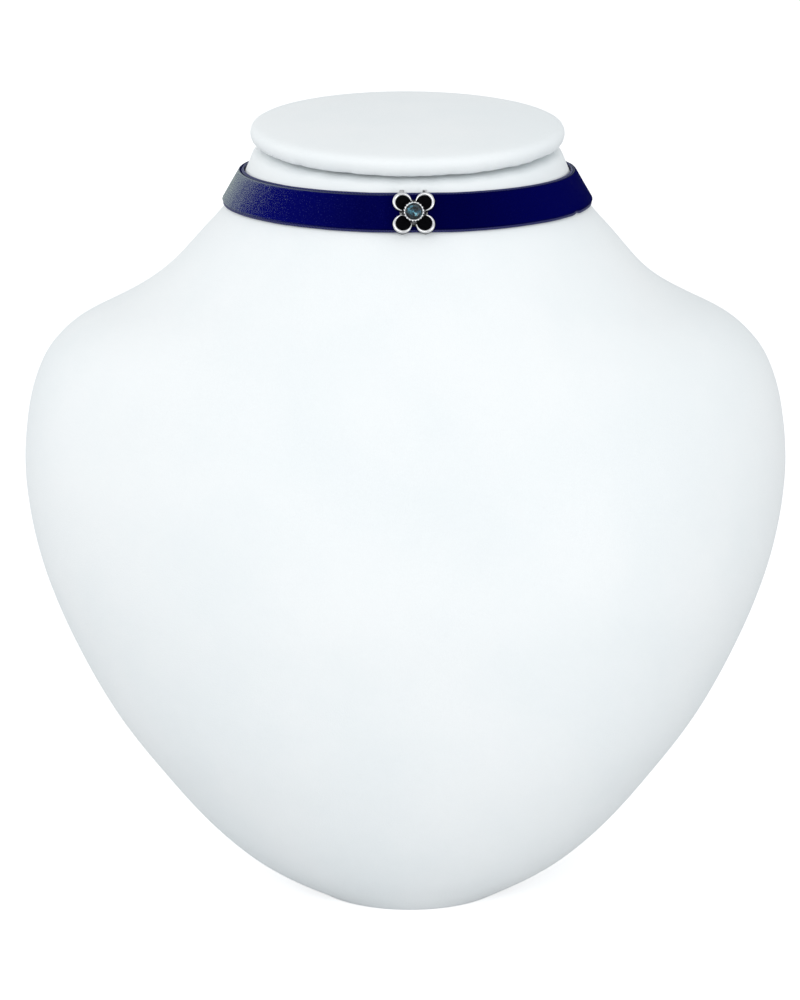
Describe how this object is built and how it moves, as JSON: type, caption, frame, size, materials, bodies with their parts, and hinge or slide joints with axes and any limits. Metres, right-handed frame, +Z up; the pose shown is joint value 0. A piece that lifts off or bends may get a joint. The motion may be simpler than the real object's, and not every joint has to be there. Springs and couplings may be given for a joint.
{
  "type": "choker necklace on neck bust",
  "caption": "Velvet ribbon choker with a petalled flower slider and crystal, fastened round a plain leatherette neck bust that stands on its own flat base.",
  "frame": {"origin": "centre of the bounding box, on the floor that the bust's flat base stands on", "axes": "+Z up, the chest and the flower face -Y, +X towards the right of someone looking at the front"},
  "size_m": [0.209, 0.121, 0.2106],
  "materials": {
    "leatherette": "matt, fine grain",
    "velvet": "short dense pile with a pale sheen",
    "silver": "polished rims, darkened recesses",
    "crystal": "cut and foil backed",
    "clasp_metal": "satin"
  },
  "bodies": {
    "root": {"neck_bust": "leatherette", "neck_cap": "leatherette", "velvet_ribbon": "velvet", "flower_charm": "silver", "stone": "crystal", "clasp": "clasp_metal"}
  },
  "joints": []
}
